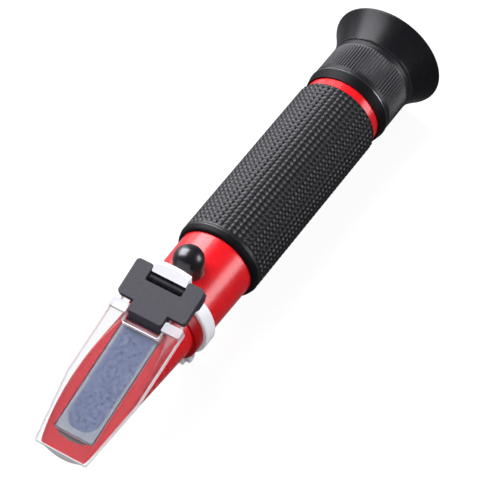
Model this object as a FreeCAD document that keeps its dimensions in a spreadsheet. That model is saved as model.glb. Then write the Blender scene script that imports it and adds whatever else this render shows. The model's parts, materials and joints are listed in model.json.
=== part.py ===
"""Hand-held refractometer: a focusing telescope behind a measuring prism with a hinged daylight plate.

Row frame: +X towards the eyecup, +Z up (the prism's measuring face looks up), Y across.
The optical axis is horizontal, `axis_height` above the surface that the instrument lies on.
Most pieces are drawn in the device frame (origin on the optical axis at the front end of the
grip) and the plate pieces in the plate frame (origin at the tip of the daylight plate, X along
the plate towards the hinge); each piece's Placement carries it into the row frame.
"""
import FreeCAD, Part
import math
import os
import Sketcher

V = FreeCAD.Vector
doc = FreeCAD.newDocument("refractometer")

# ---------------------------------------------------------------- driving dimensions (mm, degrees)
TABLE = [
    # frame
    ("frame_shift", -11.2), ("axis_height", 20.3),
    # plate frame
    ("plate_tip_x", -87.0), ("plate_tip_z", -0.6), ("plate_tilt", 16.2),
    # main tube
    ("tube_front", -27.0), ("tube_seat_rad", 12.95), ("ring_rear", -22.0), ("tube_nose_rad", 12.9),
    ("tube_mid_rad", 13.25), ("tube_grip_rad", 13.3), ("tube_bore", 11.5), ("collar_rad", 14.0),
    ("collar_rear", 86.0), ("thread_rad", 12.5), ("tube_rear", 93.5),
    ("seal_groove_x", 83.6), ("seal_groove_wide", 1.0), ("seal_groove_rad", 13.3),
    # rubber grip
    ("grip_len", 75.1), ("grip_rad", 15.0), ("grip_lip", 1.6), ("grip_front_rad", 13.5),
    # focusing barrel
    ("barrel_front", 78.6), ("barrel_nose_rad", 14.5), ("barrel_nose_len", 3.6), ("barrel_collar_rad", 15.35),
    ("barrel_collar_len", 5.4), ("barrel_rad", 15.1),
    ("barrel_rear", 98.8), ("barrel_skirt_bore", 14.25), ("barrel_shoulder", 88.5), ("barrel_bore", 12.56),
    ("spigot_rad", 13.8), ("spigot_rear", 101.2),
    # eyecup
    ("eyecup_front", 98.8), ("eyecup_neck_rad", 15.0), ("eyecup_rear", 109.4), ("eyecup_rad", 20.3),
    ("eyecup_lip", 0.8), ("eyecup_web", 102.8), ("eyecup_hole", 11.5),
    # eyepiece optics
    ("cell_front", 76.0), ("cell_rad", 11.42), ("cell_bore", 9.6), ("cell_flange_x", 96.3),
    ("cell_flange_rad", 12.5), ("cell_rear", 97.8), ("cell_lip", 8.6),
    ("eye_glass_rad", 9.55), ("field_x", 78.0), ("field_thick", 3.0), ("field_curve", 26.0),
    ("eyelens_x", 89.6), ("eyelens_thick", 4.0), ("eyelens_curve", 20.0),
    # reticle
    ("reticle_x", 58.0), ("reticle_thick", 1.5), ("reticle_rad", 9.5), ("mount_len", 6.0), ("mount_bore", 8.4),
    # inner baffle tube
    ("baffle_front", -4.0), ("baffle_rear", 56.0), ("baffle_rad", 11.5), ("baffle_bore", 10.7),
    # objective group, moved by the calibration screw
    ("obj_front", -20.0), ("obj_rear", -10.6), ("obj_rad", 10.3), ("obj_bore", 8.3), ("obj_lip", 7.2),
    ("obj_lens_x", -18.4), ("obj_lens_thick", 3.4), ("obj_curve", 34.0),
    # calibration screw and its cap
    ("screw_x", -15.4), ("screw_rad", 1.5), ("screw_tip_z", 10.45), ("screw_head_z", 13.5), ("screw_head_rad", 2.45),
    ("screw_head_top", 15.2), ("bush_rad", 4.0), ("bush_low", 10.95), ("bush_top", 12.1), ("bush_neck_rad", 3.3),
    ("bush_neck_top", 15.8), ("bush_well_rad", 2.65), ("bush_well_z", 13.0), ("bush_bore", 1.55),
    ("cap_rad", 5.1), ("cap_round_z", 17.35), ("cap_bore", 3.38), ("cap_bore_top", 17.6), ("cap_saddle_rad", 13.35),
    # prism housing
    ("house_front", -85.9), ("hull_rear_rad", 11.8), ("hull_rear_z", 1.0), ("hull_front_rad", 10.9), ("hull_front_z", 4.9),
    ("house_neck_front", -31.2), ("house_neck_rad", 13.0), ("house_spigot_rear", -20.6),
    ("house_spigot_rad", 11.5), ("light_bore", 7.6), ("light_front", -46.0), ("house_groove_x", -24.6),
    ("house_groove_wide", 1.2), ("house_groove_rad", 10.6), ("deck_depth", -2.15),
    # measuring prism, in the plate frame
    ("prism_a", 7.2), ("prism_b", 45.5), ("prism_top", -2.10), ("prism_half", 6.8), ("prism_edge", 2.6),
    ("prism_low_a", 43.6), ("prism_low_h", -17.2), ("seal_wide", 0.45), ("seal_rear", 2.0), ("seal_deep", 1.8),
    # daylight plate, in the plate frame
    ("plate_tip_half", 9.4), ("plate_half", 13.0), ("plate_bend_a", 24.0), ("plate_end_a", 57.0),
    ("plate_thick", 1.9), ("plate_notch_a", 45.7), ("plate_notch_half", 6.5), ("pad_a", 48.0), ("pad_end_a", 51.3),
    ("pad_high", 1.75),
    # bracket, in the plate frame
    ("bracket_front_a", 52.7), ("bracket_half", 12.4), ("bracket_rear_a", 65.5), ("bracket_front_h", 2.4),
    ("bracket_rear_h", 3.05), ("tongue_a", 47.4), ("tongue_top_a", 49.0), ("tongue_half", 6.1), ("tongue_low", -1.6), ("slot_a", 60.0),
    ("ear_in", 6.6), ("pin_a", 62.0), ("pin_h", 0.55), ("pin_rad", 1.0), ("pin_half", 11.6), ("ear_low", -1.8),
    # clamp ring and its hinge lug
    ("ring_front", -27.0), ("ring_rad", 14.4), ("lug_half", 6.3), ("lug_top_rad", 22.4), ("lug_rear_x", -23.3),
    ("hinge_bush_rad", 1.55), ("lug_bore", 1.05),
    ("foot_half", 5.2), ("foot_slit", 0.6), ("clamp_z", -17.4), ("clamp_rad", 1.25), ("clamp_head_rad", 1.95),
    ("clamp_head_len", 1.9), ("clamp_nut_len", 1.7),
]

sheet = doc.addObject("Spreadsheet::Sheet", "dims")
VALUE = {}
for row, (alias, number) in enumerate(TABLE, start=1):
    sheet.set("A%d" % row, alias)
    sheet.set("B%d" % row, repr(number))
    sheet.setAlias("B%d" % row, alias)
    VALUE[alias] = float(number)
doc.recompute()


class Dim:
    """A length with the sheet formula that gives it."""

    def __init__(self, value, text):
        self.value = float(value)
        self.text = text

    def __add__(self, other):
        other = dim(other)
        return Dim(self.value + other.value, "(%s + %s)" % (self.text, other.text))

    def __sub__(self, other):
        other = dim(other)
        return Dim(self.value - other.value, "(%s - %s)" % (self.text, other.text))

    def __mul__(self, other):
        other = dim(other)
        return Dim(self.value * other.value, "(%s * %s)" % (self.text, other.text))

    def __truediv__(self, other):
        other = dim(other)
        return Dim(self.value / other.value, "(%s / %s)" % (self.text, other.text))

    def __neg__(self):
        return Dim(-self.value, "(0 - %s)" % self.text)

    def __radd__(self, other):
        return dim(other) + self

    def __rsub__(self, other):
        return dim(other) - self

    def __rmul__(self, other):
        return dim(other) * self


def dim(x):
    """A Dim from an alias, a number or a Dim."""
    if isinstance(x, Dim):
        return x
    if isinstance(x, str):
        return Dim(VALUE[x], "dims.%s" % x)
    return Dim(x, repr(float(x)))


COS = Dim(math.cos(math.radians(VALUE["plate_tilt"])), "cos(dims.plate_tilt)")
SIN = Dim(math.sin(math.radians(VALUE["plate_tilt"])), "sin(dims.plate_tilt)")


def plate_point(a, up):
    """A point of the plate frame, in the device frame."""
    a, up = dim(a), dim(up)
    return (dim("plate_tip_x") + a * COS - up * SIN, dim("plate_tip_z") + a * SIN + up * COS)


def sag(radius, rim):
    """Depth of a spherical face of this radius at this rim radius."""
    radius, rim = dim(radius), dim(rim)
    return Dim(radius.value - math.sqrt(radius.value ** 2 - rim.value ** 2),
               "(%s - sqrt(%s^2 - %s^2))" % (radius.text, radius.text, rim.text))


# ---------------------------------------------------------------- helpers
def new_body(label, frame="device"):
    body = doc.addObject("PartDesign::Body", label)
    body.Label = label
    if frame == "device":
        body.Placement = FreeCAD.Placement(V(VALUE["frame_shift"], 0, VALUE["axis_height"]), FreeCAD.Rotation())
        body.setExpression(".Placement.Base.x", "dims.frame_shift")
        body.setExpression(".Placement.Base.z", "dims.axis_height")
    elif frame == "plate":
        body.Placement = FreeCAD.Placement(
            V(VALUE["plate_tip_x"] + VALUE["frame_shift"], 0, VALUE["plate_tip_z"] + VALUE["axis_height"]),
            FreeCAD.Rotation(V(0, -1, 0), VALUE["plate_tilt"]))
        body.setExpression(".Placement.Base.x", "dims.plate_tip_x + dims.frame_shift")
        body.setExpression(".Placement.Base.z", "dims.plate_tip_z + dims.axis_height")
        body.setExpression(".Placement.Rotation.Angle", "dims.plate_tilt * 1deg")
    return body


def plane(body, role):
    for f in body.Origin.OriginFeatures:
        if f.Role == role:
            return f
    raise RuntimeError("no origin plane " + role)


def new_sketch(body, role, name, offset=None):
    sk = body.newObject("Sketcher::SketchObject", name)
    sk.AttachmentSupport = (plane(body, role), [""])
    sk.MapMode = "FlatFace"
    if offset is not None:
        offset = dim(offset)
        sk.AttachmentOffset = FreeCAD.Placement(V(0, 0, offset.value), FreeCAD.Rotation())
        sk.setExpression(".AttachmentOffset.Base.z", offset.text)
    return sk


def arc_geometry(p0, p1, radius, bulge):
    """Arc from p0 to p1; bulge +1 puts the middle on the left of p0->p1, -1 on the right."""
    mid = (p0 + p1) * 0.5
    chord = p1 - p0
    half = chord.Length / 2.0
    left = V(-chord.y, chord.x, 0).normalize()
    rise = radius - math.sqrt(max(radius * radius - half * half, 0.0))
    top = mid + left * (rise * bulge)
    return Part.Arc(p0, top, p1)


def close_profile(sk, corners):
    """Closed outline. Each corner is (x, y) or (x, y, radius, bulge): an arc leads to the next corner."""
    pts = [(dim(c[0]), dim(c[1])) for c in corners]
    count = len(pts)
    firsts = []
    for i in range(count):
        a = V(pts[i][0].value, pts[i][1].value, 0)
        j = (i + 1) % count
        b = V(pts[j][0].value, pts[j][1].value, 0)
        if len(corners[i]) > 2:
            # a sketch keeps its arcs counter-clockwise, so a clockwise one is drawn from its far end
            radius, bulge = dim(corners[i][2]).value, corners[i][3]
            if bulge < 0:
                g = sk.addGeometry(arc_geometry(a, b, radius, bulge), False)
                firsts.append((g, 1, 2))
            else:
                g = sk.addGeometry(arc_geometry(b, a, radius, -bulge), False)
                firsts.append((g, 2, 1))
        else:
            g = sk.addGeometry(Part.LineSegment(a, b), False)
            firsts.append((g, 1, 2))
    for i in range(count):
        j = (i + 1) % count
        sk.addConstraint(Sketcher.Constraint("Coincident", firsts[i][0], firsts[i][2], firsts[j][0], firsts[j][1]))
    for i in range(count):
        for kind, value in (("DistanceX", pts[i][0]), ("DistanceY", pts[i][1])):
            n = sk.addConstraint(Sketcher.Constraint(kind, -1, 1, firsts[i][0], firsts[i][1], value.value))
            if "dims." in value.text:
                sk.setExpression("Constraints[%d]" % n, value.text)
        if len(corners[i]) > 2:
            r = dim(corners[i][2])
            n = sk.addConstraint(Sketcher.Constraint("Radius", firsts[i][0], r.value))
            if "dims." in r.text:
                sk.setExpression("Constraints[%d]" % n, r.text)
    return sk


def add_circle(sk, x, y, r):
    x, y, r = dim(x), dim(y), dim(r)
    g = sk.addGeometry(Part.Circle(V(x.value, y.value, 0), V(0, 0, 1), r.value), False)
    for kind, value in (("DistanceX", x), ("DistanceY", y)):
        n = sk.addConstraint(Sketcher.Constraint(kind, -1, 1, g, 3, value.value))
        if "dims." in value.text:
            sk.setExpression("Constraints[%d]" % n, value.text)
    n = sk.addConstraint(Sketcher.Constraint("Radius", g, r.value))
    if "dims." in r.text:
        sk.setExpression("Constraints[%d]" % n, r.text)
    return sk


def revolve(body, corners, name, axis="H_Axis", cut=False, role="XZ_Plane", angle=None, offset=None):
    sk = close_profile(new_sketch(body, role, name + "_outline", offset), corners)
    f = body.newObject("PartDesign::Groove" if cut else "PartDesign::Revolution", name)
    f.Profile = sk
    f.ReferenceAxis = (sk, [axis])
    f.Angle = 360.0 if angle is None else angle
    if angle is not None:
        f.Midplane = True
    sk.Visibility = False
    doc.recompute()
    return f


def extrude(body, sk, length, name, cut=False, middle=True, reverse=False):
    f = body.newObject("PartDesign::Pocket" if cut else "PartDesign::Pad", name)
    f.Profile = sk
    length = dim(length)
    f.Length = length.value
    if "dims." in length.text:
        f.setExpression("Length", length.text)
    if middle:
        f.Midplane = True
    f.Reversed = reverse
    sk.Visibility = False
    doc.recompute()
    return f


def cut_checked(body, make, least):
    """Run a cutting step and make sure that it took away at least `least` cubic millimetres."""
    before = body.Shape.Volume
    f = make()
    gone = before - body.Shape.Volume
    if gone < least:
        raise RuntimeError("%s cut only %.3f mm3" % (f.Name, gone))
    return f


SUBPARTS = []


def keep(obj, label=None):
    if label:
        obj.Label = label
    SUBPARTS.append(obj)
    return obj


# ---------------------------------------------------------------- main tube
tube = new_body("body_tube")
revolve(tube, [
    ("tube_front", "tube_bore"), ("tube_front", "tube_seat_rad"), ("ring_rear", "tube_seat_rad"),
    ("ring_rear", "tube_nose_rad"), (0.0, "tube_mid_rad"), (0.0, "tube_grip_rad"),
    ("grip_len", "tube_grip_rad"), ("grip_len", "collar_rad"),
    (dim("seal_groove_x") - dim("seal_groove_wide") / 2, "collar_rad"),
    (dim("seal_groove_x") - dim("seal_groove_wide") / 2, "seal_groove_rad"),
    (dim("seal_groove_x") + dim("seal_groove_wide") / 2, "seal_groove_rad"),
    (dim("seal_groove_x") + dim("seal_groove_wide") / 2, "collar_rad"),
    (dim("collar_rear") - 0.4, "collar_rad"), ("collar_rear", dim("collar_rad") - 0.4),
    ("collar_rear", "thread_rad"), (dim("tube_rear") - 0.5, "thread_rad"),
    ("tube_rear", dim("thread_rad") - 0.5), ("tube_rear", "tube_bore"),
], "wall")
# threaded hole in the top of the tube for the bush of the calibration screw
sk = add_circle(new_sketch(tube, "XY_Plane", "bush_seat"), "screw_x", 0.0, "bush_rad")
cut_checked(tube, lambda: extrude(tube, sk, 16.0, "bush_hole", cut=True, middle=False, reverse=True), 40.0)
keep(tube)

# ---------------------------------------------------------------- grip sleeve
grip = new_body("grip_sleeve")
revolve(grip, [
    (0.0, "tube_grip_rad"), (0.0, "grip_front_rad"),
    (0.25, dim("grip_front_rad") + 0.55), (0.9, dim("grip_rad") - 0.45), (2.6, "grip_rad"),
    (dim("grip_len") - 0.8, "grip_rad"), ("grip_len", dim("grip_rad") - 0.8),
    ("grip_len", "tube_grip_rad"),
], "sleeve")
keep(grip)

# ---------------------------------------------------------------- prism housing
house = new_body("prism_housing_core")
rings = [
    add_circle(new_sketch(house, "YZ_Plane", "hull_rear", -31.0), 0.0, "hull_rear_z", "hull_rear_rad"),
    add_circle(new_sketch(house, "YZ_Plane", "hull_front", "house_front"), 0.0, "hull_front_z", "hull_front_rad")]
loft = house.newObject("PartDesign::AdditiveLoft", "hull")
loft.Profile = rings[0]
loft.Sections = rings[1:]
loft.Ruled = True
for r_ in rings:
    r_.Visibility = False
doc.recompute()
revolve(house, [
    ("house_neck_front", 0.0), ("house_neck_front", dim("house_neck_rad") - 0.5),
    (dim("house_neck_front") + 0.5, "house_neck_rad"), ("tube_front", "house_neck_rad"),
    ("tube_front", "house_spigot_rad"), ("house_spigot_rear", "house_spigot_rad"), ("house_spigot_rear", 0.0),
], "neck")
# the sloping deck that the daylight plate lies over
deck = close_profile(new_sketch(house, "XZ_Plane", "deck_outline"), [
    plate_point(-12.0, "deck_depth"), plate_point(61.5, "deck_depth"), plate_point(61.5, 24.0), plate_point(-12.0, 24.0)])
cut_checked(house, lambda: extrude(house, deck, 60.0, "deck", cut=True), 3000.0)
# wedge-shaped pocket for the prism and its seal
well = close_profile(new_sketch(house, "XZ_Plane", "well_outline"), [
    plate_point(dim("prism_a") - dim("seal_wide"), dim("prism_top") + 3.0),
    plate_point(dim("prism_a") - dim("seal_wide"), dim("prism_top") - dim("prism_edge")),
    plate_point("prism_low_a", "prism_low_h"),
    plate_point(dim("prism_b") + dim("seal_rear"), dim("prism_top") - dim("prism_edge")),
    plate_point(dim("prism_b") + dim("seal_rear"), dim("prism_top") + 3.0)])
cut_checked(house, lambda: extrude(house, well, (dim("prism_half") + dim("seal_wide")) * 2, "well", cut=True), 1500.0)
cut_checked(house, lambda: revolve(house, [
    ("light_front", 0.0), ("light_front", "light_bore"), ("house_spigot_rear", "light_bore"),
    ("house_spigot_rear", 0.0)], "light_way", cut=True), 1500.0)
cut_checked(house, lambda: revolve(house, [
    (dim("house_groove_x") - dim("house_groove_wide") / 2, "house_groove_rad"),
    (dim("house_groove_x") - dim("house_groove_wide") / 2, dim("house_spigot_rad") + 0.2),
    (dim("house_groove_x") + dim("house_groove_wide") / 2, dim("house_spigot_rad") + 0.2),
    (dim("house_groove_x") + dim("house_groove_wide") / 2, "house_groove_rad")], "seal_channel", cut=True), 40.0)
# finger recess in the deck in front of the prism
scoop = doc.addObject("Part::Cylinder", "scoop")
scoop.Radius = 8.2
scoop.Height = 6.0
sx, sz = plate_point(12.2, dim("deck_depth") - 0.9)
scoop.Placement = FreeCAD.Placement(V(sx.value + VALUE["frame_shift"], 0, sz.value + VALUE["axis_height"]),
                                    FreeCAD.Rotation(V(0, -1, 0), VALUE["plate_tilt"]))
housing = doc.addObject("Part::Cut", "prism_housing")
housing.Base = house
housing.Tool = scoop
doc.recompute()
keep(housing, "prism_housing")

# ---------------------------------------------------------------- measuring prism and its seal (plate frame)
prism = new_body("measuring_prism", "plate")
sk = close_profile(new_sketch(prism, "XZ_Plane", "prism_outline"), [
    ("prism_a", dim("prism_top") - 0.35), (dim("prism_a") + 0.35, "prism_top"),
    (dim("prism_b") - 0.35, "prism_top"), ("prism_b", dim("prism_top") - 0.35),
    ("prism_b", dim("prism_top") - dim("prism_edge")),
    ("prism_low_a", dim("prism_low_h") + 0.3),
    ("prism_a", dim("prism_top") - dim("prism_edge"))])
extrude(prism, sk, dim("prism_half") * 2, "glass")
keep(prism)

seal = new_body("prism_seal", "plate")
sk = close_profile(new_sketch(seal, "XY_Plane", "seal_outline", dim("prism_top") - 0.45), [
    (dim("prism_a") - dim("seal_wide"), -(dim("prism_half") + dim("seal_wide"))),
    (dim("prism_b") + dim("seal_rear"), -(dim("prism_half") + dim("seal_wide"))),
    (dim("prism_b") + dim("seal_rear"), dim("prism_half") + dim("seal_wide")),
    (dim("prism_a") - dim("seal_wide"), dim("prism_half") + dim("seal_wide"))])
close_profile(sk, [
    ("prism_a", -dim("prism_half")), ("prism_b", -dim("prism_half")), ("prism_b", "prism_half"),
    ("prism_a", "prism_half")])
extrude(seal, sk, "seal_deep", "frame", middle=False, reverse=True)
keep(seal)

# O-ring that seals the housing's spigot in the tube
oring = new_body("housing_seal_ring")
gx = dim("house_groove_x")
revolve(oring, [
    (gx - 0.45, dim("house_groove_rad") + 0.2), (gx - 0.2, "house_groove_rad"), (gx + 0.2, "house_groove_rad"),
    (gx + 0.45, dim("house_groove_rad") + 0.2), (gx + 0.45, dim("house_spigot_rad") - 0.2),
    (gx + 0.2, "house_spigot_rad"), (gx - 0.2, "house_spigot_rad"), (gx - 0.45, dim("house_spigot_rad") - 0.2)], "ring")
keep(oring)

# ---------------------------------------------------------------- clamp ring with hinge lug and foot
ring = new_body("clamp_ring")
revolve(ring, [
    ("ring_front", "tube_seat_rad"), ("ring_front", dim("ring_rad") - 0.4), (dim("ring_front") + 0.4, "ring_rad"),
    (dim("ring_rear") - 0.4, "ring_rad"), ("ring_rear", dim("ring_rad") - 0.4), ("ring_rear", "tube_seat_rad")], "band")
# hinge lug: rises behind the pin, with a lip below that carries the hinge bush
px, pz = plate_point("pin_a", "pin_h")
sk = close_profile(new_sketch(ring, "XZ_Plane", "lug_outline"), [
    ("ring_rear", 12.0), ("ring_rear", 13.6), (dim("lug_rear_x"), 17.0), (dim("lug_rear_x"), 23.0), (dim("lug_rear_x") - 0.9, 22.6),
    (px + 0.95, pz + 2.2), (px + 0.7, pz + 1.9), (px + 0.7, pz - 1.5), (px - 0.7, pz - 1.65), (px - 0.8, pz - 2.25),
    (dim("ring_front"), 13.6), (dim("ring_front"), 12.0)])
extrude(ring, sk, dim("lug_half") * 2, "lug")
# clamp foot below
sk = close_profile(new_sketch(ring, "YZ_Plane", "foot_outline", dim("ring_front") + 0.3), [
    (-dim("foot_half"), -dim("axis_height")), (dim("foot_half"), -dim("axis_height")),
    (dim("foot_half"), -12.3), (-dim("foot_half"), -12.3)])
extrude(ring, sk, dim("ring_rear") - dim("ring_front") - 0.6, "foot", middle=False)
# arched top of the lug
arch_z = Dim(math.sqrt(VALUE["lug_top_rad"] ** 2 - 64.0), "sqrt(dims.lug_top_rad^2 - 64)")
sk = close_profile(new_sketch(ring, "YZ_Plane", "arch_outline", -34.0), [
    (8.0, arch_z, "lug_top_rad", -1), (-8.0, arch_z), (-8.0, 26.0), (8.0, 26.0)])
# the arc bulges upward between its two ends
cut_checked(ring, lambda: extrude(ring, sk, 16.0, "arch", cut=True, middle=False, reverse=True), 1.0)
# slit of the clamp
sk = close_profile(new_sketch(ring, "XY_Plane", "slit_outline", -22.0), [
    (-30.0, -dim("foot_slit")), (-18.0, -dim("foot_slit")), (-18.0, "foot_slit"), (-30.0, "foot_slit")])
cut_checked(ring, lambda: extrude(ring, sk, 10.0, "slit", cut=True, middle=False, reverse=True), 20.0)
# bore of the tube seat through lug and foot
cut_checked(ring, lambda: revolve(ring, [
    (-32.0, 0.0), (-32.0, "tube_seat_rad"), (-18.0, "tube_seat_rad"), (-18.0, 0.0)], "seat", cut=True), 0.0)
# bush seat and clamp screw bore, along Y
sk = add_circle(new_sketch(ring, "XZ_Plane", "bush_seat_outline"), px, pz, "hinge_bush_rad")
cut_checked(ring, lambda: extrude(ring, sk, 40.0, "bush_seat", cut=True), 15.0)
sk = add_circle(new_sketch(ring, "XZ_Plane", "screw_hole_outline"),
                (dim("ring_front") + dim("ring_rear")) / 2, "clamp_z", "clamp_rad")
cut_checked(ring, lambda: extrude(ring, sk, 40.0, "screw_hole", cut=True), 20.0)
keep(ring)

# clamp screw: socket head on the -Y side
mid_x = (dim("ring_front") + dim("ring_rear")) / 2
cs = new_body("clamp_screw")
sk = add_circle(new_sketch(cs, "XZ_Plane", "shank_outline", -dim("foot_half") - dim("clamp_nut_len")), mid_x, "clamp_z", "clamp_rad")
extrude(cs, sk, dim("foot_half") * 2 + dim("clamp_nut_len"), "shank", middle=False)
sk = add_circle(new_sketch(cs, "XZ_Plane", "head_outline", "foot_half"), mid_x, "clamp_z", "clamp_head_rad")
extrude(cs, sk, "clamp_head_len", "head", middle=False)
sk = new_sketch(cs, "XZ_Plane", "drive_outline", dim("foot_half") + dim("clamp_head_len"))
hexa = []
for i in range(6):
    ang = math.radians(60 * i)
    hexa.append((mid_x + 1.0 * math.cos(ang), dim("clamp_z") + 1.0 * math.sin(ang)))
close_profile(sk, hexa)
cut_checked(cs, lambda: extrude(cs, sk, 1.1, "drive", cut=True, middle=False), 1.5)
keep(cs)

nut = new_body("clamp_nut")
sk = new_sketch(nut, "XZ_Plane", "nut_outline", -dim("foot_half") - dim("clamp_nut_len"))
close_profile(sk, [(mid_x + 2.3 * math.cos(math.radians(60 * i + 30)), dim("clamp_z") + 2.3 * math.sin(math.radians(60 * i + 30)))
                   for i in range(6)])
add_circle(sk, mid_x, "clamp_z", "clamp_rad")
extrude(nut, sk, "clamp_nut_len", "hexagon", middle=False)
keep(nut)

# black bush fixed in the lug's seat, in which the hinge pin turns
bush = new_body("hinge_bush")
sk = add_circle(new_sketch(bush, "XZ_Plane", "bush_outline"), px, pz, "hinge_bush_rad")
add_circle(sk, px, pz, "lug_bore")
extrude(bush, sk, dim("lug_half") * 2, "sleeve")
keep(bush)

# hinge pin, fixed in the bracket's ears and running in the bush
pin = new_body("hinge_pin")
sk = add_circle(new_sketch(pin, "XZ_Plane", "pin_outline"), px, pz, "pin_rad")
extrude(pin, sk, dim("pin_half") * 2, "rod")
keep(pin)

# ---------------------------------------------------------------- daylight plate (plate frame)
plate = new_body("daylight_plate", "plate")
sk = close_profile(new_sketch(plate, "XY_Plane", "plate_outline"), [
    (0.0, -dim("plate_tip_half")), ("plate_bend_a", -dim("plate_half")), ("pad_end_a", -dim("plate_half")),
    ("pad_end_a", -(dim("bracket_half") - 1.2)), ("plate_end_a", -(dim("bracket_half") - 1.2)),
    ("plate_end_a", -dim("plate_notch_half")), ("plate_notch_a", -dim("plate_notch_half")),
    ("plate_notch_a", "plate_notch_half"), ("plate_end_a", "plate_notch_half"),
    ("plate_end_a", dim("bracket_half") - 1.2), ("pad_end_a", dim("bracket_half") - 1.2),
    ("pad_end_a", "plate_half"), ("plate_bend_a", "plate_half"), (0.0, "plate_tip_half")])
extrude(plate, sk, "plate_thick", "sheet", middle=False, reverse=True)
for side, name in ((1.0, "left"), (-1.0, "right")):
    sk = close_profile(new_sketch(plate, "XY_Plane", "pad_outline_" + name), [
        ("pad_a", dim("plate_notch_half") * side), ("pad_end_a", dim("plate_notch_half") * side),
        ("pad_end_a", dim("plate_half") * side), ("pad_a", dim("plate_half") * side)])
    extrude(plate, sk, "pad_high", "pad_" + name, middle=False)
keep(plate)

# ---------------------------------------------------------------- bracket (plate frame)
br = new_body("plate_bracket", "plate")
slope = (dim("bracket_rear_h") - dim("bracket_front_h")) / (dim("bracket_rear_a") - dim("bracket_front_a"))
top_tongue = dim("bracket_front_h") - slope * (dim("bracket_front_a") - dim("tongue_top_a"))
ea, eh = dim("pin_a"), dim("pin_h")
sk = close_profile(new_sketch(br, "XZ_Plane", "wide_outline"), [
    ("bracket_front_a", 0.0), (dim("bracket_front_a"), dim("bracket_front_h") - 0.5),
    (dim("bracket_front_a") + 0.4, "bracket_front_h"),
    (dim("bracket_rear_a") - 0.9, dim("bracket_rear_h") - 0.05), ("bracket_rear_a", dim("bracket_rear_h") - 0.9),
    ("bracket_rear_a", 0.0), (ea + 1.7, dim("ear_low")), (ea - 1.7, dim("ear_low")), (ea - 3.6, 0.0)])
extrude(br, sk, dim("bracket_half") * 2, "wide")
sk = close_profile(new_sketch(br, "XZ_Plane", "tongue_outline"), [
    ("tongue_a", "tongue_low"), (dim("tongue_a") + 0.1, dim("tongue_low") + 0.5), ("tongue_top_a", top_tongue - 0.3),
    (dim("tongue_top_a") + 0.3, top_tongue),
    (dim("bracket_front_a") + 0.4, "bracket_front_h"), (dim("bracket_front_a") + 2.0, 1.0),
    (dim("plate_end_a") - 1.0, 0.6), (dim("plate_end_a") - 1.0, "tongue_low")])
extrude(br, sk, dim("tongue_half") * 2, "tongue")
# gap between the ears for the hinge lug
sk = close_profile(new_sketch(br, "XY_Plane", "gap_outline"), [
    ("slot_a", -dim("ear_in")), (dim("bracket_rear_a") + 2.0, -dim("ear_in")),
    (dim("bracket_rear_a") + 2.0, "ear_in"), ("slot_a", "ear_in")])
cut_checked(br, lambda: extrude(br, sk, 12.0, "gap", cut=True), 200.0)
# relief under the web, clear of the hinge bush
sk = close_profile(new_sketch(br, "XZ_Plane", "relief_outline"), [
    (dim("plate_end_a"), -3.0), (dim("plate_end_a"), 0.0), (dim("slot_a") + 0.2, 0.0), (dim("slot_a") + 0.2, -3.0)])
cut_checked(br, lambda: extrude(br, sk, dim("ear_in") * 2, "relief", cut=True), 0.0)
sk = add_circle(new_sketch(br, "XZ_Plane", "pin_seat_outline"), "pin_a", "pin_h", "pin_rad")
cut_checked(br, lambda: extrude(br, sk, dim("pin_half") * 2, "pin_seat", cut=True), 20.0)
keep(br)

# ---------------------------------------------------------------- objective group
cell = new_body("objective_cell")
lx, lt = dim("obj_lens_x"), dim("obj_lens_thick")
revolve(cell, [
    ("obj_front", "obj_lip"), ("obj_front", dim("obj_rad") - 0.4), (dim("obj_front") + 0.4, "obj_rad"),
    (dim("obj_rear") - 0.4, "obj_rad"), ("obj_rear", dim("obj_rad") - 0.4), ("obj_rear", "obj_bore"),
    (lx, "obj_bore"), (lx, "obj_lip")], "cell")
keep(cell)
lens = new_body("objective_lens")
revolve(lens, [
    (lx, 0.0), (lx, "obj_bore"), (lx + lt - 1.0, "obj_bore", "obj_curve", 1),
    (lx + lt - 1.0 + sag("obj_curve", "obj_bore"), 0.05), (lx + lt - 1.0 + sag("obj_curve", "obj_bore"), 0.0)], "glass")
keep(lens)
ret = new_body("objective_retainer")
revolve(ret, [
    (lx + lt - 0.3, dim("obj_bore") - 1.0), (lx + lt - 0.9, dim("obj_bore") - 0.1), (lx + lt - 0.9, "obj_bore"),
    (lx + lt + 1.6, "obj_bore"), (lx + lt + 1.6, dim("obj_bore") - 1.0)], "ring")
keep(ret)

# leaf spring under the cell, bowed round the bottom of the tube
leaf = new_body("cell_spring")
revolve(leaf, [(-18.0, -11.5), (-12.5, -11.5), (-12.5, -11.1), (-18.0, -11.1)], "leaf", angle=70.0)
keep(leaf)

# aperture stop between the housing and the objective
stop = new_body("aperture_stop")
revolve(stop, [(-7.8, 6.0), (-7.8, "tube_bore"), (-6.6, "tube_bore"), (-6.6, 6.0)], "disc")
keep(stop)

# black baffle tube between the objective and the reticle
baffle = new_body("baffle_tube")
revolve(baffle, [
    ("baffle_front", "baffle_bore"), ("baffle_front", "baffle_rad"), ("baffle_rear", "baffle_rad"),
    ("baffle_rear", "baffle_bore")], "wall")
keep(baffle)

# ---------------------------------------------------------------- calibration screw, bush, cap
bush = new_body("screw_bush")
sx_ = dim("screw_x")
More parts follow.
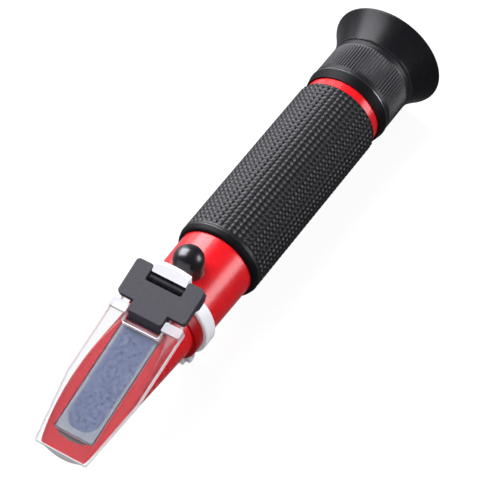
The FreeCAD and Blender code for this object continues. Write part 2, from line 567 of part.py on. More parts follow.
# drawn about its own axis: the body stands at the screw's place
for b_ in (bush,):
    b_.Placement = FreeCAD.Placement(V(VALUE["screw_x"] + VALUE["frame_shift"], 0, VALUE["axis_height"]), FreeCAD.Rotation())
    b_.setExpression(".Placement.Base.x", "dims.screw_x + dims.frame_shift")
revolve(bush, [
    ("bush_bore", "bush_low"), ("bush_rad", "bush_low"), ("bush_rad", "bush_top"), ("bush_neck_rad", "bush_top"),
    ("bush_neck_rad", dim("bush_neck_top") - 0.3), (dim("bush_neck_rad") - 0.3, "bush_neck_top"),
    ("bush_well_rad", "bush_neck_top"), ("bush_well_rad", "bush_well_z"), ("bush_bore", "bush_well_z")],
    "turned", axis="V_Axis")
keep(bush)
cal = new_body("calibration_screw")
cal.Placement = FreeCAD.Placement(V(VALUE["screw_x"] + VALUE["frame_shift"], 0, VALUE["axis_height"]), FreeCAD.Rotation())
cal.setExpression(".Placement.Base.x", "dims.screw_x + dims.frame_shift")
revolve(cal, [
    (0.0, "screw_tip_z"), (dim("screw_rad") - 0.5, "screw_tip_z"), ("screw_rad", dim("screw_tip_z") + 0.5),
    ("screw_rad", "screw_head_z"), ("screw_head_rad", "screw_head_z"), ("screw_head_rad", dim("screw_head_top") - 0.25),
    (dim("screw_head_rad") - 0.25, "screw_head_top"), (0.0, "screw_head_top")], "turned", axis="V_Axis")
sk = close_profile(new_sketch(cal, "XY_Plane", "slot_outline", "screw_head_top"), [
    (-3.0, -0.35), (3.0, -0.35), (3.0, 0.35), (-3.0, 0.35)])
cut_checked(cal, lambda: extrude(cal, sk, 0.8, "slot", cut=True, middle=False), 2.0)
keep(cal)

cap_core = new_body("screw_cap_core")
cap_core.Placement = FreeCAD.Placement(V(VALUE["screw_x"] + VALUE["frame_shift"], 0, VALUE["axis_height"]), FreeCAD.Rotation())
cap_core.setExpression(".Placement.Base.x", "dims.screw_x + dims.frame_shift")
revolve(cap_core, [
    ("cap_bore", 10.0), ("cap_rad", 10.0), ("cap_rad", "cap_round_z", dim("cap_rad"), -1),
    (0.05, dim("cap_round_z") + dim("cap_rad")), (0.0, dim("cap_round_z") + dim("cap_rad")), (0.0, "cap_bore_top"), (dim("cap_bore") - 0.5, "cap_bore_top"),
    ("cap_bore", dim("cap_bore_top") - 0.5)], "dome", axis="V_Axis")
saddle = doc.addObject("Part::Cylinder", "cap_saddle")
saddle.Radius = VALUE["cap_saddle_rad"]
saddle.setExpression("Radius", "dims.cap_saddle_rad")
saddle.Height = 30.0
saddle.Placement = FreeCAD.Placement(V(-30.0 + VALUE["frame_shift"], 0, VALUE["axis_height"]), FreeCAD.Rotation(V(0, 1, 0), 90))
cap = doc.addObject("Part::Cut", "screw_cap")
cap.Base = cap_core
cap.Tool = saddle
doc.recompute()
keep(cap, "screw_cap")

# ---------------------------------------------------------------- reticle group
rx, rt = dim("reticle_x"), dim("reticle_thick")
mount = new_body("reticle_mount")
revolve(mount, [
    (rx - 2.0, "mount_bore"), (rx - 2.0, "tube_bore"), (rx - 2.0 + dim("mount_len"), "tube_bore"),
    (rx - 2.0 + dim("mount_len"), "reticle_rad"), (rx, "reticle_rad"), (rx, "mount_bore")], "ring")
keep(mount)
ret_glass = new_body("reticle")
revolve(ret_glass, [(rx, 0.0), (rx, "reticle_rad"), (rx + rt, "reticle_rad"), (rx + rt, 0.0)], "glass")
keep(ret_glass)
rr = new_body("reticle_retainer")
revolve(rr, [
    (rx + rt, dim("reticle_rad") - 1.0), (rx + rt, "reticle_rad"), (rx + rt + 1.8, "reticle_rad"),
    (rx + rt + 1.8, dim("reticle_rad") - 1.0)], "ring")
keep(rr)

# ---------------------------------------------------------------- eyepiece
foc = new_body("focus_barrel")
revolve(foc, [
    ("barrel_front", "barrel_skirt_bore"), ("barrel_front", "barrel_nose_rad"),
    (dim("barrel_front") + dim("barrel_nose_len"), "barrel_collar_rad"),
    (dim("barrel_front") + dim("barrel_collar_len") - 0.3, "barrel_collar_rad"),
    (dim("barrel_front") + dim("barrel_collar_len"), "barrel_rad"), (dim("barrel_rear") - 0.6, "barrel_rad"),
    ("barrel_rear", dim("barrel_rad") - 0.4), ("barrel_rear", "spigot_rad"), ("spigot_rear", "spigot_rad"),
    ("spigot_rear", "barrel_bore"), ("barrel_shoulder", "barrel_bore"), ("barrel_shoulder", "barrel_skirt_bore")], "barrel")
keep(foc)

fring = new_body("focus_seal_ring")
fx = dim("seal_groove_x")
revolve(fring, [
    (fx - 0.4, "seal_groove_rad"), (fx - 0.4, dim("collar_rad") + 0.02), (fx - 0.15, dim("collar_rad") + 0.18),
    (fx + 0.15, dim("collar_rad") + 0.18), (fx + 0.4, dim("collar_rad") + 0.02), (fx + 0.4, "seal_groove_rad")], "ring")
keep(fring)

lc = new_body("lens_cell")
revolve(lc, [
    ("cell_front", "cell_lip"), ("cell_front", dim("cell_rad") - 0.4), (dim("cell_front") + 0.4, "cell_rad"),
    ("cell_flange_x", "cell_rad"), ("cell_flange_x", "cell_flange_rad"), ("cell_rear", "cell_flange_rad"),
    ("cell_rear", "cell_bore"), ("field_x", "cell_bore"), ("field_x", "cell_lip")], "cell")
keep(lc)
fl = new_body("field_lens")
x0, t0 = dim("field_x"), dim("field_thick")
revolve(fl, [(x0, 0.0), (x0, "cell_bore"), (x0 + t0 - 1.9, "cell_bore", "field_curve", 1),
             (x0 + t0 - 1.9 + sag("field_curve", "cell_bore"), 0.05),
             (x0 + t0 - 1.9 + sag("field_curve", "cell_bore"), 0.0)], "glass")
keep(fl)
sp = new_body("lens_spacer")
x1, t1 = dim("eyelens_x"), dim("eyelens_thick")
revolve(sp, [
    (x0 + t0 - 1.9, dim("cell_bore") - 0.05), (x0 + t0 - 1.9, "cell_bore"), (x1 + 1.1, "cell_bore"),
    (x1 + 1.1, dim("cell_bore") - 0.05), (x1 + 0.4, dim("cell_bore") - 0.9), (x0 + t0 - 1.0, dim("cell_bore") - 0.9)], "tube")
keep(sp)
el = new_body("eye_lens")
revolve(el, [(x1 + 1.1 - sag("eyelens_curve", "cell_bore"), 0.0),
             (x1 + 1.1 - sag("eyelens_curve", "cell_bore"), 0.05, "eyelens_curve", 1), (x1 + 1.1, "cell_bore"),
             (x1 + t1 - 1.1, "cell_bore", "eyelens_curve", 1), (x1 + t1 - 1.1 + sag("eyelens_curve", "cell_bore"), 0.05),
             (x1 + t1 - 1.1 + sag("eyelens_curve", "cell_bore"), 0.0)], "glass")
keep(el)
lr = new_body("lens_retainer")
revolve(lr, [
    (x1 + t1 - 1.1, dim("cell_bore") - 0.05), (x1 + t1 - 1.1, "cell_bore"), (dim("cell_rear") - 0.6, "cell_bore"),
    (dim("cell_rear") - 0.6, dim("cell_bore") - 1.2), (x1 + t1 - 0.2, dim("cell_bore") - 1.2)], "ring")
keep(lr)

cup = new_body("eyecup")
revolve(cup, [
    ("eyecup_front", "spigot_rad"), ("eyecup_front", dim("eyecup_neck_rad") - 0.2),
    (dim("eyecup_front") + 0.6, "eyecup_neck_rad"), (dim("eyecup_front") + 2.0, dim("eyecup_neck_rad") + 0.35),
    (dim("eyecup_rear") - 4.0, dim("eyecup_rad") - 2.05), (dim("eyecup_rear") - 0.3, dim("eyecup_rad") - 0.05),
    ("eyecup_rear", "eyecup_rad"), ("eyecup_rear", dim("eyecup_rad") - dim("eyecup_lip")),
    (dim("eyecup_rear") - 4.2, dim("eyecup_rad") - 3.2), ("eyecup_web", 13.9), ("eyecup_web", "eyecup_hole"),
    ("spigot_rear", "eyecup_hole"), ("spigot_rear", "spigot_rad")], "cup")
keep(cup)

# ---------------------------------------------------------------- checks and export
doc.recompute()
bad = []
for obj in doc.Objects:
    if "Invalid" in obj.State or "Error" in obj.State:
        bad.append("%s: %s" % (obj.Label, obj.State))
for obj in SUBPARTS:
    shape = obj.Shape
    if shape.isNull() or not shape.isValid():
        bad.append("%s: shape not valid" % obj.Label)
    elif len(shape.Solids) != 1:
        bad.append("%s: %d solids" % (obj.Label, len(shape.Solids)))
if bad:
    raise RuntimeError("; ".join(bad))
os.makedirs("parts", exist_ok=True)
for obj in SUBPARTS:
    obj.Shape.exportStep("parts/%s.step" % obj.Label)
    box = obj.Shape.BoundBox
    print("%-20s vol %9.2f  x %7.2f %7.2f  y %6.2f %6.2f  z %6.2f %6.2f" % (
        obj.Label, obj.Shape.Volume, box.XMin, box.XMax, box.YMin, box.YMax, box.ZMin, box.ZMax))
print(len(SUBPARTS), "pieces")
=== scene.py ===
import json
import math

import bmesh
import bpy
import numpy as np
from mathutils import Matrix, Vector


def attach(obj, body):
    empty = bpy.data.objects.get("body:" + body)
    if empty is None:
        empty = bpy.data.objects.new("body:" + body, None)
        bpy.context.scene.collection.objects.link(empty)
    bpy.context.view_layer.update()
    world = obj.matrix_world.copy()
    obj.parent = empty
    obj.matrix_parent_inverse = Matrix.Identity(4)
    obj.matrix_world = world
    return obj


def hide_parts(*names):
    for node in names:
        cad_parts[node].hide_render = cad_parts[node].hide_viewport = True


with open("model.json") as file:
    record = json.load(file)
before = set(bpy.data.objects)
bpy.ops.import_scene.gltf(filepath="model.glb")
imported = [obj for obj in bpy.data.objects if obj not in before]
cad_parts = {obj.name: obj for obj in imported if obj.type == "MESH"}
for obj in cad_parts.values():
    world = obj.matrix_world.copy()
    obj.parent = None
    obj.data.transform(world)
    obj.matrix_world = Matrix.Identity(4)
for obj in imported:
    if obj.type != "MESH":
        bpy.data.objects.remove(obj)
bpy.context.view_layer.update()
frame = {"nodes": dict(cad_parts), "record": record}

SCENE = bpy.context.scene
COLL = SCENE.collection
NODES = frame["nodes"]

# ------------------------------------------------------------------ places
# Device frame (mm): origin on the optical axis at the front end of the grip, +X to the eyecup.
SHIFT_X, AXIS_Z = -11.2, 20.3
TIP_X, TIP_Z, TILT = -87.0, -0.6, math.radians(16.2)
CT, ST = math.cos(TILT), math.sin(TILT)


def dev(x, y, z):
    """Device-frame millimetres to row-frame metres."""
    return ((x + SHIFT_X) / 1000.0, y / 1000.0, (z + AXIS_Z) / 1000.0)


def pla(a, y, h):
    """Plate-frame millimetres (a along the plate from its tip, h above its top) to row-frame metres."""
    return dev(TIP_X + a * CT - h * ST, y, TIP_Z + a * ST + h * CT)


# ------------------------------------------------------------------ mesh helpers
def finish_mesh(me, angle=32.0):
    """Smooth shading with sharp edges where faces meet at more than `angle` degrees."""
    bm = bmesh.new()
    bm.from_mesh(me)
    bmesh.ops.recalc_face_normals(bm, faces=bm.faces)
    lim = math.radians(angle)
    for f in bm.faces:
        f.smooth = True
    for e in bm.edges:
        e.smooth = not (len(e.link_faces) == 2 and e.calc_face_angle(0.0) > lim)
    bm.to_mesh(me)
    bm.free()
    me.update()


def weigh(ob):
    """Flat faces keep flat shading up to their rounded edges."""
    md = ob.modifiers.new("weighted", "WEIGHTED_NORMAL")
    md.keep_sharp = True


def add(name, verts, faces, body, replaces=(), mats=(), angle=32.0, finish=True, weighted=False):
    me = bpy.data.meshes.new(name)
    me.from_pydata([tuple(v) for v in verts], [], [tuple(f) for f in faces])
    me.validate()
    if finish:
        finish_mesh(me, angle)
    ob = bpy.data.objects.new(name, me)
    COLL.objects.link(ob)
    for m in mats:
        me.materials.append(m)
    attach(ob, body)
    if replaces:
        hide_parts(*replaces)
    if weighted:
        weigh(ob)
    return ob


def fillet(points, n=5):
    """Closed outline from (u, v) or (u, v, radius) corners, each rounded by its radius."""
    out = []
    m = len(points)
    for i in range(m):
        p = Vector(points[i][:2])
        r = points[i][2] if len(points[i]) > 2 else 0.0
        if r <= 0:
            out.append((p.x, p.y))
            continue
        a = Vector(points[i - 1][:2]) - p
        b = Vector(points[(i + 1) % m][:2]) - p
        la, lb = a.length, b.length
        a.normalize()
        b.normalize()
        ang = a.angle(b)
        if ang > math.radians(178):
            out.append((p.x, p.y))
            continue
        cut = min(r / math.tan(ang / 2), la * 0.49, lb * 0.49)
        rr = cut * math.tan(ang / 2)
        mid = (a + b).normalized()
        c = p + mid * (rr / math.sin(ang / 2))
        s, e = p + a * cut - c, p + b * cut - c
        a0 = math.atan2(s.y, s.x)
        a1 = math.atan2(e.y, e.x)
        d = a1 - a0
        while d > math.pi:
            d -= 2 * math.pi
        while d < -math.pi:
            d += 2 * math.pi
        for k in range(n + 1):
            t = a0 + d * k / n
            out.append((c.x + rr * math.cos(t), c.y + rr * math.sin(t)))
    return out


def lathe(name, profile, n, body, replaces=(), mats=(), radial=None, angle=32.0, centre=dev):
    """Turns a closed outline of (x, r) about the optical axis. radial(i, x, r) may change a radius."""
    verts, faces = [], []
    m = len(profile)
    for i in range(n):
        t = 2 * math.pi * i / n
        s, c = math.sin(t), math.cos(t)
        for x, r in profile:
            if radial:
                r = radial(i, x, r)
            verts.append(centre(x, -r * s, r * c))
    for i in range(n):
        j = (i + 1) % n
        for k in range(m):
            q = (k + 1) % m
            faces.append((i * m + k, i * m + q, j * m + q, j * m + k))
    return add(name, verts, faces, body, replaces, mats, angle)


def slab(name, outline, low, high, body, where=pla, replaces=(), mats=(), edge=0.3, segments=3, angle=30.0,
         low_fn=None, high_fn=None, keep_mesh=False):
    """A plate with the outline (a, y) between two heights, its edges rounded by `edge` mm."""
    bm = bmesh.new()
    lo_v, hi_v = [], []
    for a, y in outline:
        lo = low_fn(a, y) if low_fn else low
        hi = high_fn(a, y) if high_fn else high
        lo_v.append(bm.verts.new((a, y, lo)))
        hi_v.append(bm.verts.new((a, y, hi)))
    m = len(outline)
    bm.faces.new(hi_v)
    bm.faces.new(lo_v[::-1])
    for i in range(m):
        j = (i + 1) % m
        bm.faces.new((lo_v[i], lo_v[j], hi_v[j], hi_v[i]))
    bmesh.ops.recalc_face_normals(bm, faces=bm.faces)
    if edge > 0:
        lim = math.radians(angle)
        edges = [e for e in bm.edges if len(e.link_faces) == 2 and e.calc_face_angle(0.0) > lim]
        bmesh.ops.bevel(bm, geom=edges, offset=edge, offset_type="OFFSET", segments=segments, profile=0.5,
                        affect="EDGES", clamp_overlap=True)
    for v in bm.verts:
        v.co = Vector(where(*v.co))
    me = bpy.data.meshes.new(name)
    bm.to_mesh(me)
    bm.free()
    if keep_mesh:
        return me
    finish_mesh(me, 40.0)
    ob = bpy.data.objects.new(name, me)
    COLL.objects.link(ob)
    for mt in mats:
        me.materials.append(mt)
    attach(ob, body)
    if replaces:
        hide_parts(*replaces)
    weigh(ob)
    return ob


def cad_copy(name, node, body, mats=(), width=0.25, segments=2, angle=30.0, picks=()):
    """A piece with the CAD node's shape whose real edges are rounded. picks: (test, width, segments) first."""
    bm = bmesh.new()
    bm.from_mesh(NODES[node].data)
    bmesh.ops.remove_doubles(bm, verts=bm.verts, dist=2e-6)
    bmesh.ops.dissolve_limit(bm, angle_limit=math.radians(0.6), verts=bm.verts, edges=bm.edges)
    bmesh.ops.recalc_face_normals(bm, faces=bm.faces)
    lim = math.radians(angle)
    for test, w, seg in picks:
        edges = [e for e in bm.edges if len(e.link_faces) == 2 and e.calc_face_angle(0.0) > lim and test(e)]
        if edges:
            bmesh.ops.bevel(bm, geom=edges, offset=w / 1000.0, offset_type="OFFSET", segments=seg, profile=0.5,
                            affect="EDGES", clamp_overlap=True)
    edges = [e for e in bm.edges if len(e.link_faces) == 2 and e.calc_face_angle(0.0) > lim]
    if width > 0 and edges:
        bmesh.ops.bevel(bm, geom=edges, offset=width / 1000.0, offset_type="OFFSET", segments=segments, profile=0.5,
                        affect="EDGES", clamp_overlap=True)
    me = bpy.data.meshes.new(name)
    bm.to_mesh(me)
    bm.free()
    finish_mesh(me, 40.0)
    ob = bpy.data.objects.new(name, me)
    COLL.objects.link(ob)
    me.materials.clear()
    for mt in mats:
        me.materials.append(mt)
    weigh(ob)
    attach(ob, body)
    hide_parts(node)
    return ob


# ------------------------------------------------------------------ materials
def node(nt, kind, **values):
    n = nt.nodes.new(kind)
    for k, v in values.items():
        if hasattr(n, k):
            setattr(n, k, v)
        else:
            n.inputs[k.replace("_", " ")].default_value = v
    return n


def material(name, color, rough, metallic=0.0, spread=0.25, noise=900.0, bump=0.0, bump_scale=2500.0, rough_spread=0.06,
             spec=0.5, coat=0.0, coat_rough=0.1, transmission=0.0, ior=1.5, detail=4.0, tint=None, sheen=0.0, alpha=1.0):
    """Procedural finish: colour mottling, uneven roughness and a fine bump in the surface's own space."""
    m = bpy.data.materials.new(name)
    m.use_nodes = True
    nt = m.node_tree
    nt.nodes.clear()
    out = nt.nodes.new("ShaderNodeOutputMaterial")
    sh = nt.nodes.new("ShaderNodeBsdfPrincipled")
    nt.links.new(sh.outputs["BSDF"], out.inputs["Surface"])
    co = nt.nodes.new("ShaderNodeTexCoord")
    no = nt.nodes.new("ShaderNodeTexNoise")
    no.inputs["Scale"].default_value = noise
    no.inputs["Detail"].default_value = detail
    nt.links.new(co.outputs["Object"], no.inputs["Vector"])
    ramp = nt.nodes.new("ShaderNodeValToRGB")
    dark = [c * (1 - spread) for c in color[:3]]
    light = [min(1.0, c * (1 + spread)) for c in (tint or color)[:3]]
    ramp.color_ramp.elements[0].position = 0.3
    ramp.color_ramp.elements[1].position = 0.7
    ramp.color_ramp.elements[0].color = (*dark, 1)
    ramp.color_ramp.elements[1].color = (*light, 1)
    nt.links.new(no.outputs["Fac"], ramp.inputs["Fac"])
    nt.links.new(ramp.outputs["Color"], sh.inputs["Base Color"])
    mr = nt.nodes.new("ShaderNodeMapRange")
    mr.inputs["To Min"].default_value = max(0.0, rough - rough_spread)
    mr.inputs["To Max"].default_value = min(1.0, rough + rough_spread)
    nt.links.new(no.outputs["Fac"], mr.inputs["Value"])
    nt.links.new(mr.outputs["Result"], sh.inputs["Roughness"])
    sh.inputs["Metallic"].default_value = metallic
    sh.inputs["Specular IOR Level"].default_value = spec
    sh.inputs["Coat Weight"].default_value = coat
    sh.inputs["Coat Roughness"].default_value = coat_rough
    sh.inputs["Transmission Weight"].default_value = transmission
    sh.inputs["IOR"].default_value = ior
    sh.inputs["Alpha"].default_value = alpha
    if sheen:
        sh.inputs["Sheen Weight"].default_value = sheen
    if bump > 0:
        n2 = nt.nodes.new("ShaderNodeTexNoise")
        n2.inputs["Scale"].default_value = bump_scale
        n2.inputs["Detail"].default_value = 3.0
        nt.links.new(co.outputs["Object"], n2.inputs["Vector"])
        b = nt.nodes.new("ShaderNodeBump")
        b.inputs["Strength"].default_value = bump
        b.inputs["Distance"].default_value = 0.0001
        nt.links.new(n2.outputs["Fac"], b.inputs["Height"])
        nt.links.new(b.outputs["Normal"], sh.inputs["Normal"])
    return m


RED = material("red_enamel", (0.63, 0.0055, 0.010), 0.27, spread=0.05, noise=350, bump=0.05, bump_scale=1200, coat=0.70, coat_rough=0.26,
               rough_spread=0.04)
# darker, duller copy of the red enamel for the up-facing deck: its darker red is painted shade
DECK_RED_PAINTED_SHADE = material("red_enamel_deck_painted_shade", (0.56, 0.004, 0.009), 0.50, spread=0.05, noise=350, bump=0.04, bump_scale=1200, spec=0.2)
# darker copy of the red enamel for the housing's neck: painted shade
RED_NECK_PAINTED_SHADE = material("red_enamel_neck_painted_shade", (0.30, 0.002, 0.004), 0.30, spread=0.08, noise=350, spec=0.35)
GRIP = material("grip_rubber", (0.0065, 0.0065, 0.008), 0.43, spread=0.25, noise=2600, bump=0.12, bump_scale=6000, spec=0.64)
# darker, duller black: painted shade on the grip's front lip; also the darker band on the barrel's front nose
MATT_BLACK_AND_SHADE = material("matt_black_and_painted_shade", (0.0035, 0.0035, 0.004), 0.5, spread=0.2, noise=1800, bump=0.05, bump_scale=5000, spec=0.16)
BARREL = material("black_plastic", (0.0075, 0.0075, 0.0095), 0.38, spread=0.2, noise=1800, bump=0.10, bump_scale=5000, spec=0.82)
CREST = material("polished_edge", (0.012, 0.012, 0.014), 0.26, spread=0.15, noise=900, bump=0.02, spec=1.0, ior=1.8, coat=0.6, coat_rough=0.2)
CUP = material("eyecup_rubber", (0.0055, 0.0055, 0.0068), 0.33, spread=0.2, noise=700, bump=0.08, bump_scale=3500, spec=0.30)
CAP = material("cap_rubber", (0.005, 0.005, 0.007), 0.30, spread=0.2, noise=900, bump=0.02, bump_scale=3000, spec=0.8, ior=1.6,
               coat=0.3, coat_rough=0.25)
WHITE_METAL = material("white_metal", (0.818, 0.822, 0.831), 0.30, metallic=0.0, spread=0.015, noise=160, rough_spread=0.03, bump=0.015,
                       bump_scale=1500)
STEEL = material("steel", (0.80, 0.80, 0.81), 0.30, metallic=0.55, spread=0.05, noise=1200, bump=0.02)
BRACKET = material("bracket_plastic", (0.045, 0.043, 0.050), 0.50, spread=0.14, noise=1600, bump=0.2, bump_scale=4200, spec=0.22)
# darker, bluer copy of the bracket plastic for the tongue's front faces: painted shade
TONGUE_FRONT_PAINTED_SHADE = material("bracket_front_painted_shade", (0.014, 0.014, 0.024), 0.35, spread=0.10, noise=1600, bump=0.1, bump_scale=4200, spec=0.4)
SEAL = material("seal_rubber", (0.36, 0.20, 0.22), 0.6, spread=0.12)
BLACK_METAL = material("black_metal", (0.018, 0.018, 0.018), 0.45, metallic=0.5, spread=0.2, noise=1500, bump=0.05)
BRASS = material("brass", (0.72, 0.50, 0.20), 0.3, metallic=1.0, spread=0.08, noise=1500, bump=0.05)
SPRING = material("spring_steel", (0.45, 0.45, 0.47), 0.35, metallic=1.0, spread=0.1)
CLEAR = material("clear_plastic", (0.07, 0.08, 0.09), 0.06, spread=0.03, noise=120, rough_spread=0.015, ior=1.5, spec=0.2, alpha=0.13)
LENS = material("lens_glass", (0.93, 0.97, 0.95), 0.02, spread=0.01, rough_spread=0.01, transmission=1.0, ior=1.52, coat=0.3, coat_rough=0.02)
# black of the hinge bush; also used as painted shade on the white lug's front faces
BLACK_BUSH_AND_LUG_SHADE = material("hinge_bush", (0.010, 0.010, 0.012), 0.28, spread=0.2, noise=900, bump=0.02, spec=0.12)
# near-white, nearly opaque colours for the clear plate's side walls and edge roundings: painted highlight
PLATE_SIDE_PAINTED_HIGHLIGHT = material("plate_side_painted_highlight", (0.90, 0.89, 0.89), 0.12, spread=0.05, noise=500, rough_spread=0.05, spec=0.7, coat=0.6, coat_rough=0.04,
                      alpha=0.80)
PLATE_EDGE_PAINTED_HIGHLIGHT = material("plate_edge_painted_highlight", (0.70, 0.74, 0.74), 0.16, spread=0.04, noise=500, rough_spread=0.05, spec=0.5, coat=0.4, coat_rough=0.05,
                      alpha=0.68)
PRISM_EDGE = material("prism_edge", (0.150, 0.172, 0.215), 0.18, spread=0.08, noise=700, rough_spread=0.05, spec=0.5, coat=0.3, coat_rough=0.05)
PRISM_FACE = material("prism_face", (0.056, 0.080, 0.175), 0.42, spread=0.42, noise=1150, rough_spread=0.08, spec=0.3, bump=0.2, bump_scale=3500,
                      tint=(0.128, 0.158, 0.272))
# pale grey on the clear pads: painted light and shade
PAD_PAINTED_LIGHT = material("plate_pad_painted_light", (0.50, 0.53, 0.55), 0.20, spread=0.04, noise=500, spec=0.25, coat=0.15, coat_rough=0.08, alpha=0.68)
# near-white on the housing's front end in place of its red: painted light
NOSE_PAINTED_LIGHT = material("nose_end_painted_light", (0.93, 0.88, 0.87), 0.40, spread=0.06, noise=700, spec=0.4)
# dark grey for the crescent recess in front of the prism: painted shade
RECESS_PAINTED_SHADE = material("deck_recess_painted_shade", (0.10, 0.105, 0.10), 0.5, spread=0.1, noise=900, spec=0.3)
# white, nearly opaque colour for the notch edge of the clear plate: painted highlight
NOTCH_EDGE_PAINTED_HIGHLIGHT = material("plate_notch_edge_painted_highlight", (0.93, 0.94, 0.97), 0.14, spread=0.03, noise=500, spec=0.8, coat=0.8, coat_rough=0.05, alpha=0.92)

FLOOR = bpy.data.materials.new("floor")
FLOOR.use_nodes = True
_f = FLOOR.node_tree.nodes["Principled BSDF"]
_f.inputs["Base Color"].default_value = (0.20, 0.20, 0.20, 1)
_f.inputs["Roughness"].default_value = 0.9
_f.inputs["Specular IOR Level"].default_value = 0.05
_f.inputs["Emission Color"].default_value = (1, 1, 1, 1)
_f.inputs["Emission Strength"].default_value = 0.87

SLOT_MATERIAL = {
    "red_enamel": RED, "grip_rubber": GRIP, "black_plastic": BARREL, "eyecup_rubber": CUP, "white_metal": WHITE_METAL,
    "steel": STEEL, "clear_plastic": CLEAR, "bracket_plastic": BRACKET, "prism_glass": PRISM_EDGE, "seal": SEAL,
    "black_metal": BLACK_METAL, "lens_glass": LENS, "spring_steel": SPRING, "brass": BRASS, "cap_rubber": CAP,
}
for part in frame["record"]["subparts"]:
    ob = NODES[part["node"]]
    for sl in ob.material_slots:
        sl.material = SLOT_MATERIAL[part["material_slot"]]

# ------------------------------------------------------------------ rubber grip with raised points
AROUND, PER = 43, 8
PITCH_X, FIRST_X = 1.9, 3.65


def grip():
    n = AROUND * PER
    lip = [(0.0, 13.34), (0.0, 13.55), (0.07, 13.85), (0.25, 14.15), (0.6, 14.42), (1.0, 14.6), (1.5, 14.74), (1.95, 14.85),
           (2.15, 14.94), (2.35, 14.99), (2.55, 14.985), (2.72, 14.9), (2.85, 14.76), (3.0, 14.64), (3.3, 14.60)]
    xs = []
    x = FIRST_X
    step = PITCH_X / PER
    while x < 74.6:
        xs.append(x)
        x += step
    tail = [(74.75, 14.62), (74.95, 14.56), (75.08, 14.4), (75.1, 14.1), (75.1, 13.34)]
    rows = [(x, r, False) for x, r in lip] + [(x, 0.0, True) for x in xs] + [(x, r, False) for x, r in tail]
    m = len(rows)
    base, high = 14.63, 0.36
    verts, faces = [], []
    for i in range(n):
        t = 2 * math.pi * i / n
        s, c = math.sin(t), math.cos(t)
        v = (i % PER) / PER
        dv = abs(v - 0.5) * 2
        for x, r, textured in rows:
            if textured:
                u = ((x - FIRST_X) / PITCH_X) % 1.0
                du = abs(u - 0.5) * 2
                d = (du ** 6 + dv ** 6) ** (1 / 6.0)
                # flat-topped points between V-shaped grooves
                k = min(max((1.0 - d) / 0.5, 0.0), 1.0)
                r = base + high * (k - 0.12 * k * (du * du + dv * dv))
            verts.append(dev(x, -r * s, r * c))
    for i in range(n):
        j = (i + 1) % n
        for k in range(m):
            q = (k + 1) % m
            faces.append((i * m + k, i * m + q, j * m + q, j * m + k))
    ob = add("grip", verts, faces, "main_tube", ("grip_sleeve",), (GRIP, MATT_BLACK_AND_SHADE, BARREL), angle=30.0)
    # the front lip takes the darker matt black: painted shade
    for f in ob.data.polygons:
        x = f.center.x * 1000 - SHIFT_X
        f.material_index = 1 if x < 2.12 else (2 if x < 2.66 else 0)
    return ob


grip()

# ------------------------------------------------------------------ focusing barrel with fine ribs
RIBS, RIB_PER = 86, 8


def barrel():
    n = RIBS * RIB_PER
    prof = fillet([
        (78.6, 14.25, 0.05), (78.6, 14.5, 0.12), (80.4, 14.96, 1.5), (82.25, 15.33, 0.25), (82.75, 15.33, 0.18), (82.95, 15.0, 0.06),
        (83.2, 15.0, 0.06), (83.35, 15.17, 0.08), (83.75, 15.17, 0.08), (83.9, 14.95, 0.06), (84.15, 14.95, 0.06), (84.3, 15.1, 0.06)], 5)
    ribs = [(84.6, 15.1), (84.8, 15.1), (85.1, 15.1), (88.0, 15.1), (91.0, 15.1), (95.7, 15.1), (95.95, 15.1), (96.2, 15.1)]
    back = fillet([
        (96.4, 15.1, 0.08), (96.85, 15.1, 0.08), (96.95, 14.92, 0.06), (97.2, 14.92, 0.06), (97.3, 15.1, 0.08), (97.7, 15.1, 0.08),
        (97.8, 14.92, 0.06), (98.05, 14.92, 0.06), (98.15, 15.08, 0.08), (98.74, 15.02, 0.2), (98.78, 13.82, 0.05), (101.2, 13.8, 0.15),
        (101.2, 12.56, 0.15), (88.5, 12.56), (88.5, 14.25)], 4)
    # fillet() closes each list, so the three stretches are joined by hand
    outline = [(x, r, 0) for x, r in prof] + [(x, r, 1) for x, r in ribs] + [(x, r, 0) for x, r in back]
    m = len(outline)
    depth = 0.27
    verts, faces = [], []
    for i in range(n):
        t = 2 * math.pi * i / n
        s, c = math.sin(t), math.cos(t)
        w = abs(((i % RIB_PER) / RIB_PER) - 0.5) * 2
        crest = min(max((0.95 - w) / 0.6, 0.0), 1.0)
        crest = crest * crest * (3 - 2 * crest)
        for k, (x, r, rib) in enumerate(outline):
            if rib:
                fade = 1.0
                if x < 84.7 or x > 96.1:
                    fade = 0.0
                elif x < 85.0 or x > 95.8:
                    fade = 0.7
                r = r - depth * (1 - crest) * fade
            verts.append(dev(x, -r * s, r * c))
    for i in range(n):
        j = (i + 1) % n
        for k in range(m):
            q = (k + 1) % m
            faces.append((i * m + k, i * m + q, j * m + q, j * m + k))
    ob = add("focusing_barrel", verts, faces, "eyepiece", ("focus_barrel",), (BARREL, MATT_BLACK_AND_SHADE, CREST), angle=50.0)
    # the front nose takes the darker matt black
    for f in ob.data.polygons:
        x = f.center.x * 1000 - SHIFT_X
        f.material_index = 1 if x < 82.0 else (2 if x < 83.0 else 0)
    return ob


barrel()

